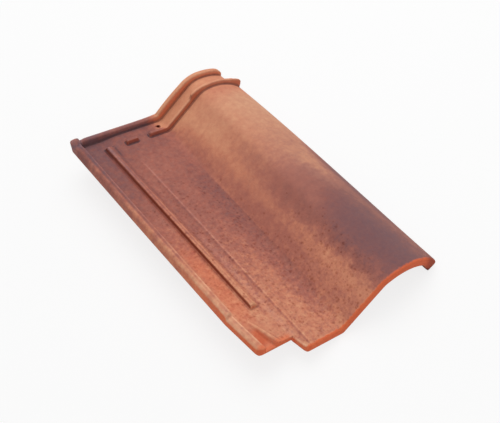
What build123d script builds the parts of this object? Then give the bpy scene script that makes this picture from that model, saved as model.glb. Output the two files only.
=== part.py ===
"""Interlocking clay roof tile with a flat pan, a tapered roll, a side lock and a head lap, lying at rest.

It is drawn with the pan level: x runs across from the lock edge to the roll, y from the tail up to the
head, and z square to the pan. The finished tile is then tipped over its roll, as it lies on a floor.
"""

import os
from math import asin, atan2, cos, degrees, radians, sin, sqrt, tan

from build123d import *

# Whole tile
length = 430.0
wall = 11.5

# Underside of the wall at the tail and at the head: fold between pan and roll, and the arc of the crown,
# which swells a little between them
tail_fold_x = 119.2
head_fold_x = 144.2
tail_crown_x = 203.0
head_crown_x = 205.0
tail_crown_z = 66.0
head_crown_z = 55.0
tail_crown_r = 70.0
head_crown_r = 63.5
roll_swell = 2.6
roll_swell_shares = (0.25, 0.5, 0.75)
flank_angle = 49.0
knee_r = 18.0
fold_under_r = 6.0
fold_top_r = 14.0

# Thickened lip along the free edge of the roll, by angles from the crown
roll_end_angle = 46.6
lip_drop = 4.5
lip_start_angle = 28.0
lip_full_angle = 41.0

# Side lock: strip beside the pan, cut back at the tail, with an edge rib and a water rib
lock_wall = 9.0
lock_width = 54.8
lock_corner_x = 59.6
lock_cutback = 23.6
pan_step_x = 57.4
pan_step_run = 10.0
edge_rib_width = 10.0
edge_rib_top = 18.5
edge_rib_fall = 2.6
edge_rib_round = 4.0
edge_knob_top = 25.0
edge_knob_long = 10.0
edge_knob_out = 3.0
low_rib_top = 14.5
low_rib_end = 81.0
low_rib_shift = 5.0
low_rib_round = 3.0
water_rib_x = 35.5
water_rib_foot = 16.0
water_rib_crest = 5.5
water_rib_rise = 6.5
water_rib_tail = 80.0
water_rib_setback = 26.0
water_rib_round = 1.5

# Drain pocket in the lock's tail corner, with the low bar beside it that closes the channel
bar_start = (14.0, 79.0)
bar_end_x = 33.0
bar_width = 7.0
bar_rise = 2.5
pocket_start_y = 60.0
pocket_depth = 4.5
lock_tail_bevel = 3.0

# Head lap: a rib along the head, and a broken rib one pocket further down, both set back from the head
head_rib_width = 8.4
head_rib_rise = 7.5
lap_rib_setback = 33.0
lap_rib_width = 7.0
lap_rib_rise = 7.0
lap_rib_start = 105.0
lap_rib_end = 254.0
lap_jog_x = 168.0
lap_jog_width = 2.4
lap_bar_start = 67.0
lap_bar_end = 87.0
rib_round = 2.4
head_corner_x = 240.0
head_corner_setback = 27.5

# Rounded upper edge of the tail, by angles round its arc
tail_round = 4.0
tail_round_angles = (0.0, 30.0, 60.0, 90.0)

# Nail hole
nail_x = 128.6
nail_setback = 17.8
nail_r = 2.5

# Batten nibs under the pan
nib_xs = (30.0, 82.0)
nib_setback = 45.0
nib_width = 26.0
nib_thick = 14.0
nib_drop = 12.0
nib_draft = 3.0

middle_share = 0.5
touch = wall / 1000
half_turn = tan(radians(flank_angle) / 2)
flank = Vector(cos(radians(flank_angle)), 0, sin(radians(flank_angle)))
inward = Vector(sin(radians(flank_angle)), 0, -cos(radians(flank_angle)))


def between(y, tail_value, head_value):
    """Value of a tapering size at a height y up the tile."""
    return tail_value + (head_value - tail_value) * y / length


def crown_radius(y):
    """Radius under the crown: its taper and a swell that is nothing at both ends and full at two thirds."""
    share = y / length
    return between(y, tail_crown_r, head_crown_r) + roll_swell * share**2 * (1 - share) * 27 / 4


def crown_centre(y):
    """Centre of the crown's arc."""
    top = between(y, tail_crown_z, head_crown_z)
    return Vector(between(y, tail_crown_x, head_crown_x), y, top - between(y, tail_crown_r, head_crown_r))


def on_crown(y, radius, angle):
    """Point at a radius and at an angle from the top of the crown."""
    return crown_centre(y) + Vector(radius * sin(radians(angle)), 0, radius * cos(radians(angle)))


def arc(centre, start, end):
    """Short arc between two points that lie the same distance from the centre."""
    middle = (start - centre).normalized() + (end - centre).normalized()
    return Edge.make_three_point_arc(start, centre + middle.normalized() * (start - centre).length, end)


def wall_points(y, rise, fold_r):
    """Centres and tangent points of the line that runs a height rise above the underside."""
    fold = Vector(between(y, tail_fold_x, head_fold_x) - rise * half_turn, y, rise)
    radius = crown_radius(y) + rise
    round_r = knee_r + rise
    centre = crown_centre(y)
    fold_start = fold - Vector(fold_r * half_turn, 0, 0)
    fold_end = fold + flank * (fold_r * half_turn)
    offset = fold + inward * round_r - centre
    along = offset.dot(flank)
    run = -along + sqrt(along**2 - offset.dot(offset) + (radius - round_r) ** 2)
    knee_start = fold + flank * run
    knee_centre = knee_start + inward * round_r
    knee_end = centre + (knee_centre - centre).normalized() * radius
    return {
        "fold_centre": fold_start + Vector(0, 0, fold_r),
        "fold_start": fold_start,
        "fold_end": fold_end,
        "knee_start": knee_start,
        "knee_centre": knee_centre,
        "knee_end": knee_end,
        "radius": radius,
    }


def roll_line(y, rise, fold_r, end_angle):
    """Edges from the pan's end of the fold up over the roll to an angle beyond its crown."""
    p = wall_points(y, rise, fold_r)
    return [
        arc(p["fold_centre"], p["fold_start"], p["fold_end"]),
        Edge.make_line(p["fold_end"], p["knee_start"]),
        arc(p["knee_centre"], p["knee_start"], p["knee_end"]),
        arc(crown_centre(y), p["knee_end"], on_crown(y, p["radius"], end_angle)),
    ]


def wall_section(y, rise):
    """Closed outline of the plain wall, from the lock edge to the lip, with its top at a given rise."""
    lock_rise = lock_wall * rise / wall
    top = roll_line(y, rise, fold_top_r, roll_end_angle)
    under = roll_line(y, 0, fold_under_r, lip_start_angle)
    lip_r = crown_radius(y) - lip_drop
    lip_end = on_crown(y, lip_r, roll_end_angle)
    lip_full = on_crown(y, lip_r, lip_full_angle)
    pan_start = Vector(pan_step_x + pan_step_run, y, rise)
    step_foot = Vector(pan_step_x, y, lock_rise)
    edge_top = Vector(0, y, lock_rise)
    edge_foot = Vector(0, y, -wall)
    trim_end = (under[0] @ 0) - Vector(0, 0, wall)
    return Wire(
        [
            Edge.make_line(edge_foot, edge_top),
            Edge.make_line(edge_top, step_foot),
            Edge.make_line(step_foot, pan_start),
            Edge.make_line(pan_start, top[0] @ 0),
            *top,
            Edge.make_line(top[-1] @ 1, lip_end),
            arc(crown_centre(y), lip_end, lip_full),
            Edge.make_line(lip_full, under[-1] @ 1),
            *under,
            Edge.make_line(under[0] @ 0, trim_end),
            Edge.make_line(trim_end, edge_foot),
        ]
    )


def cross_rib(setback, width, rise):
    """Rib with a rounded crest that follows the wall from the lock edge to the end of the roll."""
    y = length - setback + width / 2
    across = Vector(0, width, 0)
    crest = roll_line(y, wall + rise, fold_under_r, roll_end_angle)
    root = roll_line(y, wall / 2, fold_top_r, roll_end_angle)
    crest_start = Vector(0, y, wall + rise)
    root_start = Vector(0, y, wall / 2)
    crest_line = [Edge.make_line(crest_start, crest[0] @ 0), *crest]
    outline = Wire(
        [
            Edge.make_line(root_start, crest_start),
            *crest_line,
            Edge.make_line(crest[-1] @ 1, root[-1] @ 1),
            *root,
            Edge.make_line(root[0] @ 0, root_start),
        ]
    )
    marks = [line @ middle_share for line in crest_line]
    rib = Solid.extrude(Face(outline), across)
    marks += [mark + across for mark in marks]
    rims = [e for e in rib.edges() if min(e.distance_to(mark) for mark in marks) < touch]
    return Pos(0, -width / 2, 0) * rib.fillet(rib_round, rims)


def block(low, high):
    """Box between two corners."""
    size = Vector(*high) - Vector(*low)
    centre = (Vector(*high) + Vector(*low)) / 2
    return Pos(centre) * Box(size.X, size.Y, size.Z)


def long_rib(points, from_y, to_y):
    """Prism of an outline in x and z, along the tile."""
    outline = Wire.make_polygon([Vector(x, from_y, z) for x, z in points], close=True)
    return Solid.extrude(Face(outline), Vector(0, to_y - from_y, 0))


def rounded_long_rib(points, from_y, to_y, round_r):
    """Prism whose two upper edges are rounded."""
    rib = long_rib(points, from_y, to_y)
    crest = max(z for x, z in points)
    edges = [e for e in rib.edges().filter_by(Axis.Y) if abs(e.center().Z - crest) < round_r]
    return rib.fillet(round_r, edges)


def plan_prism(points, low, high):
    """Prism of an outline in x and y, between two heights."""
    outline = Wire.make_polygon([Vector(x, y, low) for x, y in points], close=True)
    return Solid.extrude(Face(outline), Vector(0, 0, high - low))


# Wall, rounded along the top of its tail edge and trimmed flat under the pan
sections = []
for angle in tail_round_angles:
    inset = tail_round * (1 - cos(radians(angle)))
    sections.append(wall_section(inset, wall - tail_round * (1 - sin(radians(angle)))))
for share in roll_swell_shares:
    sections.append(wall_section(share * length, wall))
sections.append(wall_section(length - head_corner_setback, wall))
sections.append(wall_section(length, wall))
body = Part() + Solid.make_loft(sections, ruled=True)
body -= block((-length, -length, -length), (2 * length, 2 * length, 0))

# Head lap
head_rib = cross_rib(head_rib_width, head_rib_width, head_rib_rise)
lap_rib = cross_rib(lap_rib_setback, lap_rib_width, lap_rib_rise)
lap_roll = lap_rib & block((lap_rib_start, 0, 0), (lap_jog_x, length, length))
wide_rib = cross_rib(lap_rib_setback, lap_rib_width + lap_jog_width, lap_rib_rise)
lap_crown = wide_rib & block((lap_jog_x, 0, 0), (lap_rib_end, length, length))
lap_bar = lap_rib & block((lap_bar_start, 0, 0), (lap_bar_end, length, length))
body += [head_rib, lap_roll, lap_crown, lap_bar]
body -= block((head_corner_x, length - head_corner_setback, -length), (2 * length, 2 * length, length))

# Side lock
edge_side_top = edge_rib_top - edge_rib_fall
edge_outline = [(0, 0), (edge_rib_width, 0), (edge_rib_width, edge_rib_top), (0, edge_side_top)]
knob_outline = [
    (0, 0),
    (edge_rib_width, 0),
    (edge_rib_width, edge_knob_top),
    (-edge_knob_out, edge_knob_top),
    (-edge_knob_out, edge_side_top),
]
water_foot = lock_wall / 2
water_top = lock_wall + water_rib_rise
water_outline = [
    (water_rib_x, water_foot),
    (water_rib_x + water_rib_foot, water_foot),
    (water_rib_x + water_rib_foot, lock_wall),
    (water_rib_x + water_rib_crest, water_top),
    (water_rib_x, water_top),
]
body += [
    rounded_long_rib(edge_outline, low_rib_end, length, edge_rib_round),
    rounded_long_rib(knob_outline, length - edge_knob_long, length, edge_rib_round),
    rounded_long_rib(water_outline, water_rib_tail, length - water_rib_setback, water_rib_round),
]

# Lock corner at the tail: bar, drain pocket, edge drawn in, low rib, bevel and the notch beside the pan
low_inner = edge_rib_width + low_rib_shift
bar_end = (bar_end_x, lock_cutback)
bar_outline = [
    bar_start,
    (bar_start[0] + bar_width, bar_start[1]),
    (bar_end_x + bar_width, lock_cutback),
    bar_end,
]
pocket_outline = [
    (low_inner, 0),
    (bar_end_x, 0),
    bar_end,
    (edge_rib_width, pocket_start_y),
    (edge_rib_width, lock_cutback),
]
pocket_side = Wire.make_polygon(
    [
        Vector(0, pocket_start_y, lock_wall),
        Vector(0, lock_cutback, lock_wall - pocket_depth),
        Vector(0, 0, lock_wall - pocket_depth),
        Vector(0, 0, length),
        Vector(0, pocket_start_y, length),
    ],
    close=True,
)
drawn_outline = [
    (-length, 0),
    (low_rib_shift, 0),
    (low_rib_shift, lock_cutback),
    (0, low_rib_end),
    (-length, low_rib_end),
]
low_outline = [
    (low_rib_shift, lock_cutback),
    (low_inner, lock_cutback),
    (edge_rib_width, low_rib_end),
    (0, low_rib_end),
]
bevel_side = Wire.make_polygon(
    [
        Vector(0, lock_cutback, 0),
        Vector(0, lock_cutback, lock_tail_bevel),
        Vector(0, lock_cutback + lock_tail_bevel, 0),
    ],
    close=True,
)
notch_outline = [
    (-length, -length),
    (lock_corner_x, -length),
    (lock_corner_x, 0),
    (lock_width, lock_cutback),
    (-length, lock_cutback),
]
low_rib = plan_prism(low_outline, 0, low_rib_top)
low_tops = [e for e in low_rib.edges() if abs(e.center().Z - low_rib_top) < touch]
low_crests = [e for e in low_tops if e.length > edge_rib_width + touch]
body += plan_prism(bar_outline, lock_wall / 2, lock_wall + bar_rise)
body -= plan_prism(pocket_outline, 0, length) & Solid.extrude(Face(pocket_side), Vector(length, 0, 0))
body -= plan_prism(drawn_outline, -length, length)
body += low_rib.fillet(low_rib_round, low_crests)
body -= plan_prism(notch_outline, -length, length)
body -= Solid.extrude(Face(bevel_side), Vector(lock_width, 0, 0))

# Nail hole
body -= Pos(nail_x, length - nail_setback, 0) * Cylinder(nail_r, 2 * length)

# Batten nibs
nib_face_y = length - nib_setback
for nib_x in nib_xs:
    nib_start = nib_x - nib_width / 2
    nib_side = Wire.make_polygon(
        [
            Vector(nib_start, nib_face_y, 0),
            Vector(nib_start, nib_face_y, -nib_drop),
            Vector(nib_start, nib_face_y + nib_thick - nib_draft, -nib_drop),
            Vector(nib_start, nib_face_y + nib_thick, 0),
        ],
        close=True,
    )
    body += Solid.extrude(Face(nib_side), Vector(nib_width, 0, 0))


def floor_contact(y):
    """Tilt at which a floor touches the fold and the lip, and the two points that it touches."""
    fold_centre = wall_points(y, 0, fold_under_r)["fold_centre"]
    lip = on_crown(y, crown_radius(y) - lip_drop, roll_end_angle)
    gap = lip - fold_centre
    tilt = atan2(gap.Z, gap.X) + asin(fold_under_r / gap.length)
    return tilt, fold_centre + Vector(sin(tilt), 0, -cos(tilt)) * fold_under_r, lip


# Laid on the floor, with the head towards +y, on the whole fold and on the lower end of the lip
tail_contact = floor_contact(0)
lap_contact = floor_contact(length - head_corner_setback)
rest_tilt, rest_fold, rest_lip = min(tail_contact, lap_contact, key=lambda contact: contact[0])
tail_fold = tail_contact[1]
fold_line = lap_contact[1] - tail_fold
up = (rest_lip - rest_fold).cross(fold_line).normalized()
across = Vector(0, 1, 0).cross(up)
floor = Plane(origin=tail_fold, x_dir=across, z_dir=up)
laid = floor.to_local_coords(body)
box = laid.bounding_box()
shift = Pos(-box.center().X, -box.center().Y, -box.min.Z)
tile = shift * laid

os.makedirs("parts", exist_ok=True)
export_step(tile, "parts/roof_tile.step")
print("tilt from level", round(degrees(rest_tilt), 2), "box", tile.bounding_box().size)
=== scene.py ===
# %% [markdown]
# # A flamed clay roof tile
# The tile is one piece of pressed and fired clay: a flat pan, a roll that tapers towards the head,
# a ribbed lock along one edge and a double rib across the head. The solid model gives its sizes and
# its place on the floor. This lesson makes the visible skin with the soft edges that a clay press
# leaves, and then the flamed and speckled colour that the kiln gives it.

import bpy
import numpy as np
from mathutils import Matrix, Vector


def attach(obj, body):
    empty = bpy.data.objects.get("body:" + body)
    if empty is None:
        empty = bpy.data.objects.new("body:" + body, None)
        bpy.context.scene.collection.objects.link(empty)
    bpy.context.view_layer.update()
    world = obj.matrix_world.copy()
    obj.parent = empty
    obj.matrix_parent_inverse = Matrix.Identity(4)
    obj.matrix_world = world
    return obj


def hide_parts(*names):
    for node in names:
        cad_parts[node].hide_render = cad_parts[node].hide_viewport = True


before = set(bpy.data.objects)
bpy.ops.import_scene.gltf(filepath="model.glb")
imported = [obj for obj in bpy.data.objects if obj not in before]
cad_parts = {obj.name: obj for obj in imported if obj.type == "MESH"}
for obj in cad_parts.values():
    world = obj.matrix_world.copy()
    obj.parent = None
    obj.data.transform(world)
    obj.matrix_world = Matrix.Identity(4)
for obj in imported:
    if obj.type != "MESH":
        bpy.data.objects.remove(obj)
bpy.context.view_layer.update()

# %% [markdown]
# ## Sizes
# All sizes are in millimetres, in the tile's own directions: x across from the lock edge to the roll,
# y from the tail, which is the lower end on a roof, up to the head, and z square to the flat pan.
# Each size is given where it is first needed. Most are the sizes of the solid model, so the skin lies
# on it without any fitting. A few small forms, such as the bow of the lock edge, are the skin's own.

# %% Outline
LENGTH = 430.0
WALL = 11.5
LOCK_WIDTH = 54.8
LOCK_CORNER_X = 59.6
LOCK_CUTBACK = 23.6
HEAD_CORNER_X = 240.0
HEAD_CORNER_Y = LENGTH - 27.5
print("tile", LENGTH, "mm long, wall", WALL, "mm, lock strip", LOCK_WIDTH, "mm wide")

# %% [markdown]
# ## How the tile lies
# Put down on a level floor, the tile tips over its roll until the fold and the lip both touch. The
# solid model is stored like that, so every point that is worked out level is turned by the same three
# directions and moved by the same shift. A matrix product turns a whole array of points at once.

# %% From the level tile to the floor
REST_UP = np.array((-0.294126, 0.0171, 0.955614))
REST_SHIFT = np.array((-138.2865, -214.5854, -2.6))
MM = 0.001
rest_across = np.cross((0.0, 1.0, 0.0), REST_UP)
rest_across /= np.linalg.norm(rest_across)
rest_turn = np.stack([rest_across, np.cross(REST_UP, rest_across), REST_UP])


def lay_down(points):
    """Points of the level tile in mm, moved by the shift, turned to the floor, in metres."""
    return (points + REST_SHIFT) @ rest_turn.T * MM


print("tipped over by", np.round(np.degrees(np.arccos(REST_UP[2])), 2), "degrees")

# %% [markdown]
# ## Columns and rows
# The skin is a grid of points. Across the tile the clay follows one line: the lock strip, straight over
# the pan, round the fold, straight up the flank, round the knee and over the crown. Every column of the
# grid keeps its zone and its share of that zone, so a column stays on the fold or on the crown all the
# way up, although the roll grows narrower. Columns and rows crowd where the clay turns sharply, which
# takes fewer faces than a fine grid everywhere.

# %% Places of the ribs
EDGE_RIB_WIDTH = 10.0
LOW_RIB_END = 81.0
# Water rib: its side, the end of its crest and its foot
WATER_RIB = (35.5, 41.0, 51.5)
WATER_RIB_ENDS = (80.0, LENGTH - 26.0)
PAN_START = 67.4
HEAD_RIB_WIDTH = 8.4
LAP_RIB = (LENGTH - 33.0, LENGTH - 26.0)
# How far inside a side the clay turns most sharply
BESIDE = 1.0
print("water rib from", WATER_RIB_ENDS[0], "to", WATER_RIB_ENDS[1], "mm, lap rib at", LAP_RIB[0], "mm")

# %% Graded steps
PROBES = 2000


def graded(marks, features, fine, coarse, reach):
    """Places through all marks, with fine steps at the features and coarse ones further off than a reach.

    The count of steps up to a place is the running sum of one over the step length, so even counts give
    places that crowd where the steps are short."""
    runs = [np.array(marks[:1])]
    for start, end in zip(marks, marks[1:]):
        line = np.linspace(start, end, PROBES)
        away = np.abs(line[:, None] - np.asarray(features)).min(axis=1)
        step = fine + (coarse - fine) * np.clip(away / reach, 0, 1)
        count = np.concatenate([[0], np.cumsum(np.diff(line) / step[1:])])
        even = np.linspace(0, count[-1], int(np.ceil(count[-1])) + 1)
        runs.append(np.interp(even, count, line)[1:])
    return np.concatenate(runs)


print("graded steps look like", graded((0, 6), (0,), fine=0.5, coarse=2, reach=4).round(1))

# %% Columns across
# Shares of the pan at its step, the lap bar's end and the lap rib's start
PAN_SHARES = (0, 0.3, 0.62)
# Shares of the crown at the head's cut, the lap rib's end and the free edge
CROWN_SHARES = (0.74, 0.92, 1)
# Steps over the fold, the flank and the knee
BEND_STEPS = (10, 14, 9)
lock_marks = (0, EDGE_RIB_WIDTH, LOCK_WIDTH, PAN_START)
lock_features = (0, 2 * BESIDE, EDGE_RIB_WIDTH - BESIDE, EDGE_RIB_WIDTH + BESIDE, WATER_RIB[0] + BESIDE,
                 WATER_RIB[1], LOCK_WIDTH, PAN_START)
lock_columns = graded(lock_marks, lock_features, fine=0.4, coarse=1.3, reach=4)
pan_columns = graded((0, 1), PAN_SHARES, fine=0.012, coarse=0.03, reach=0.2)[1:]
bend_columns = [np.linspace(0, 1, steps + 1)[1:] for steps in BEND_STEPS]
crown_columns = graded((0, 1), CROWN_SHARES, fine=0.009, coarse=0.04, reach=0.15)[1:]
zone_shares = [lock_columns, pan_columns, *bend_columns, crown_columns]
CROWN_ZONE = len(zone_shares) - 1
zone = np.concatenate([np.full(len(shares), k) for k, shares in enumerate(zone_shares)])[:, None]
share = np.concatenate(zone_shares)[:, None]
print(len(share), "columns in zones of", [len(shares) for shares in zone_shares])

# %% Rows along
BAR_FULL_Y = 52.0
NAIL_ROW_Y = LENGTH - 17.0
row_marks = (0, LOCK_CUTBACK, LOW_RIB_END, HEAD_CORNER_Y, LENGTH)
row_features = (
    0, 2 * BESIDE, LOCK_CUTBACK, LOCK_CUTBACK + 3 * BESIDE, BAR_FULL_Y, LOW_RIB_END - BESIDE,
    LOW_RIB_END + 2 * BESIDE, *WATER_RIB_ENDS, LAP_RIB[0] + BESIDE, LAP_RIB[1], HEAD_CORNER_Y, NAIL_ROW_Y,
    LENGTH - HEAD_RIB_WIDTH, LENGTH - BESIDE, LENGTH,
)
rows = graded(row_marks, row_features, fine=0.42, coarse=4.5, reach=14)
print(len(rows), "rows")

# %% [markdown]
# ## One line across the tile
# Top and underside follow the same recipe with another rise and another fold. The roll tapers from the
# tail to the head and swells a little between them. The lock edge bows out by less than a millimetre,
# and near the tail it is drawn in. Sizes are worked out for all rows at once.

# %% Sizes that change along the tile
FOLD_X = (119.2, 144.2)
CROWN_X = (203.0, 205.0)
CROWN_Z = (66.0, 55.0)
CROWN_R = (70.0, 63.5)
ROLL_SWELL = 2.6
LOW_RIB_SHIFT = 5.0
EDGE_BOW = 0.8


def soft_step(value, start, end):
    """0 before the start, 1 after the end, and 3t^2 - 2t^3 at a share t between. The end may come first."""
    t = np.clip((value - start) / (end - start), 0, 1)
    return t * t * (3 - 2 * t)


def along_tile(ends, y):
    """A tapering size at y: the tail value plus its share of the change up to the head."""
    return ends[0] + (ends[1] - ends[0]) * y / LENGTH


def crown_radius(y):
    """Radius under the crown: a taper plus a swell of t^2 (1 - t), which is 4/27 at its most."""
    t = y / LENGTH
    return along_tile(CROWN_R, y) + ROLL_SWELL * t**2 * (1 - t) * 27 / 4


def edge_shift(y):
    """How far the lock edge is drawn in: evenly more below the low rib's end, less a sine bow."""
    drawn_in = LOW_RIB_SHIFT * np.clip((LOW_RIB_END - y) / (LOW_RIB_END - LOCK_CUTBACK), 0, 1)
    return drawn_in - EDGE_BOW * np.sin(np.pi * np.clip(y / LENGTH, 0, 1))


def notch_slant(y):
    """How far the notch's side leans over towards the pan: evenly more down to the tail."""
    return (LOCK_CORNER_X - LOCK_WIDTH) * np.clip(1 - y / LOCK_CUTBACK, 0, 1)


crown_radii = crown_radius(np.array([0, LENGTH / 2, LENGTH]))
print("crown radius", crown_radii.round(1), "mm at tail, middle and head")

# %% The line itself
FLANK = np.radians(49.0)
HALF_TURN = np.tan(FLANK / 2)
KNEE_R = 18.0
FOLD_UNDER_R = 6.0
FOLD_TOP_R = 14.0
ROLL_END = np.radians(46.6)
LIP_START = np.radians(28.0)
LIP_FULL = np.radians(41.0)


def cross_line(y, rise, fold_r, lip_drop=0.0):
    """Points and outward angle of the line at a rise above the underside.

    The flank touches the fold's arc and the knee's arc, and the knee's arc touches the crown's arc.
    The run along the flank to the knee solves a quadratic: the knee's centre is at the crown's radius
    less the knee's own radius from the crown's centre."""
    up_x, up_z = np.cos(FLANK), np.sin(FLANK)
    fold_x = along_tile(FOLD_X, y) - rise * HALF_TURN
    start_x = fold_x - fold_r * HALF_TURN
    radius = crown_radius(y) + rise
    mid_x = along_tile(CROWN_X, y)
    mid_z = along_tile(CROWN_Z, y) - along_tile(CROWN_R, y)
    knee_r = KNEE_R + rise
    off_x = fold_x + up_z * knee_r - mid_x
    off_z = rise - up_x * knee_r - mid_z
    reach = off_x * up_x + off_z * up_z
    run = -reach + np.sqrt(reach**2 - off_x**2 - off_z**2 + (radius - knee_r) ** 2)
    knee_x, knee_z = fold_x + up_x * run, rise + up_z * run
    turn_x, turn_z = knee_x + up_z * knee_r, knee_z - up_x * knee_r
    knee_end = np.arctan2(turn_x - mid_x, turn_z - mid_z)
    fold_end_x, fold_end_z = fold_x + up_x * fold_r * HALF_TURN, rise + up_z * fold_r * HALF_TURN
    flat = np.zeros_like(y)
    angle = np.choose(zone, [flat, flat, -FLANK * share + flat, -FLANK + flat,
                             -FLANK + (knee_end + FLANK) * share, knee_end + (ROLL_END - knee_end) * share])
    crown = radius - lip_drop * np.clip((angle - LIP_START) / (LIP_FULL - LIP_START), 0, 1)
    lock_x = share + edge_shift(y) * np.interp(share, (EDGE_RIB_WIDTH + 2 * BESIDE, WATER_RIB[0]), (1, 0))
    lock_x = lock_x + notch_slant(y) * np.interp(share, (WATER_RIB[2], LOCK_WIDTH, PAN_START), (0, 1, 0))
    x = np.choose(zone, [lock_x, PAN_START + (start_x - PAN_START) * share,
                         start_x - fold_r * np.sin(angle), fold_end_x + (knee_x - fold_end_x) * share,
                         turn_x + knee_r * np.sin(angle), mid_x + crown * np.sin(angle)])
    z = np.choose(zone, [rise + flat, rise + flat,
                         rise + fold_r * (1 - np.cos(angle)), fold_end_z + (knee_z - fold_end_z) * share,
                         turn_z + knee_r * np.cos(angle), mid_z + crown * np.cos(angle)])
    return x, z, angle


tail_x, tail_z, _ = cross_line(np.zeros_like(share), WALL, FOLD_TOP_R)
print("tail line from", tail_x[0], "to", tail_x[-1].round(1), "mm, up to", tail_z.max().round(1), "mm")

# %% [markdown]
# ## The outline
# Seen from above the tile is not a rectangle. The lock strip is cut back at the tail, and the roll is
# cut back at the head so that four tiles can meet in one corner. Both cuts follow a column and a row
# of the grid, so the cells behind them are simply left out.

# %% Cells that are left out


def nearest(places, place):
    """Number of the column or row that lies nearest to a place."""
    return int(np.argmin(np.abs(places - place)))


head_x, _, head_angle = cross_line(np.full_like(share, HEAD_CORNER_Y), WALL, FOLD_TOP_R)
corner_column = nearest(head_x[:, 0], HEAD_CORNER_X)
corner_row = nearest(rows, HEAD_CORNER_Y)
notch_column = nearest(lock_columns, LOCK_WIDTH)
notch_row = nearest(rows, LOCK_CUTBACK)
kept_cells = np.ones((len(share) - 1, len(rows) - 1), bool)
kept_cells[corner_column:, corner_row:] = False
kept_cells[:notch_column, :notch_row] = False
print("roll cut back beyond", head_x[corner_column].round(1), "mm,", (~kept_cells).sum(), "cells left out")

# %% [markdown]
# ## Ribs, bars and a pocket
# All relief stands on the clay line, square to it. It could be sculpted, but a height for each x and y
# keeps every rib at its size. A rib's side is steep at its foot and round at its crest, as clay leaves
# a mould, so its height rises with one minus the cube of what is left to go. Each rib has a function of
# its own, the tallest rib wins where two meet, and the pocket is taken away at the end.

# %% A pressed side


def pressed(depth, width):
    """Share of a rib's height at a depth inside its side: 1 - (1 - depth / width)^3, and 0 outside."""
    return 1 - (1 - np.clip(depth / width, 0, 1)) ** 3


def long_band(value, ends, width):
    """Share of height between two ends, each rounded over a width."""
    return np.minimum(pressed(value - ends[0], width), pressed(ends[1] - value, width))


print("a side of 3 mm has", np.round(pressed(np.arange(4), 3), 2), "of its height after 0 to 3 mm")

# %% Pan step
LOCK_WALL = 9.0
PAN_STEP_RUN = 10.0
PAN_STEP_FADE = 22.0
PAN_BEAD = 0.35
PAN_BEAD_HALF = 3.5
PAN_BEAD_END = (327.0, 367.0)


def strip_drop(x, y):
    """How far the strip lies below the pan: a soft step whose run grows longer towards the head lap."""
    run = PAN_STEP_RUN + PAN_STEP_FADE * soft_step(y, PAN_BEAD_END[1], LAP_RIB[1])
    return (WALL - LOCK_WALL) * soft_step(x, PAN_START, PAN_START - run)


def pan_bead(x, y):
    """Faint bead along the top of the step: a bell curve across it, which dies out below the head lap."""
    bell = np.exp(-((x - PAN_START) / PAN_BEAD_HALF) ** 2)
    return PAN_BEAD * bell * soft_step(y, PAN_BEAD_END[1], PAN_BEAD_END[0])


print("the lock strip lies", strip_drop(LOCK_WIDTH / 2, LENGTH / 2), "mm below the pan")

# %% Edge rib and water rib
EDGE_RIB_TOP = 18.5
EDGE_RIB_FALL = 2.6
EDGE_RIB_SOFT = 3.0
LOW_RIB_TOP = 14.5
LOW_RIB_CLIMB = (LOW_RIB_END, LOW_RIB_END + 4.0)
EDGE_KNOB_TOP = 26.0
EDGE_KNOB_CLIMB = (LENGTH - 12.0, LENGTH - 4.0)
EDGE_KNOB_SOFT = 8.0
WATER_RIB_RISE = 6.5
WATER_RIB_SOFT = 2.2
WATER_RIB_END_SOFT = 4.5


def rib_side(y):
    """Place of the edge rib's inner side, which shifts with the lock edge."""
    return EDGE_RIB_WIDTH + edge_shift(y)


def edge_rib(x, y):
    """Height of the edge rib: low at the tail, then full, falling evenly outwards, with a knob."""
    top = LOW_RIB_TOP + (EDGE_RIB_TOP - LOW_RIB_TOP) * soft_step(y, *LOW_RIB_CLIMB)
    top = top - EDGE_RIB_FALL * np.clip((rib_side(y) - x) / EDGE_RIB_WIDTH, 0, 1)
    knob = (EDGE_KNOB_TOP - EDGE_RIB_TOP) * soft_step(y, *EDGE_KNOB_CLIMB)
    knob = knob * pressed(rib_side(y) + BESIDE - x, EDGE_KNOB_SOFT)
    return (top - LOCK_WALL) * pressed(rib_side(y) - x, EDGE_RIB_SOFT) + knob


def water_rib(x, y):
    """Height of the water rib: a pressed side towards the lock edge and a soft slope towards the pan."""
    section = np.minimum(pressed(x - WATER_RIB[0], WATER_RIB_SOFT), soft_step(x, WATER_RIB[2], WATER_RIB[1]))
    return WATER_RIB_RISE * section * long_band(y, WATER_RIB_ENDS, WATER_RIB_END_SOFT)


print("edge rib", EDGE_RIB_TOP, "mm and knob", EDGE_KNOB_TOP, "mm above the underside")

# %% Head rib and lap rib
CROSS_RIB_SOFT = 2.6
HEAD_RIB_RISE = 7.5
HEAD_RIB_SWELL = 4.0
# Middle and width of the swell
HEAD_RIB_SWELL_X = (158.0, 28.0)
HEAD_RIB_END_SOFT = 20.0
LAP_RIB_RISE = 6.0
LAP_RIB_SPAN = (105.0, 255.0)
LAP_RIB_END_SOFT = (3.0, 8.0)
# Foot, top and end of the step
LAP_JOG_X = (172.0, 177.0, 198.0)
LAP_JOG_RISE = 4.0
LAP_GROWTH_X = (228.0, 250.0)
LAP_GROWTH = 3.8
LAP_BAR_SPAN = (67.0, 87.0)


def head_rib(x, y):
    """Height of the rib along the head: it swells in a bell curve on the flank and ends softly."""
    swell = HEAD_RIB_SWELL * np.exp(-((x - HEAD_RIB_SWELL_X[0]) / HEAD_RIB_SWELL_X[1]) ** 2)
    section = pressed(y - LENGTH + HEAD_RIB_WIDTH, CROSS_RIB_SOFT)
    end = pressed(HEAD_CORNER_X + BESIDE - x, HEAD_RIB_END_SOFT)
    return (HEAD_RIB_RISE + swell + strip_drop(x, y)) * section * end


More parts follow.
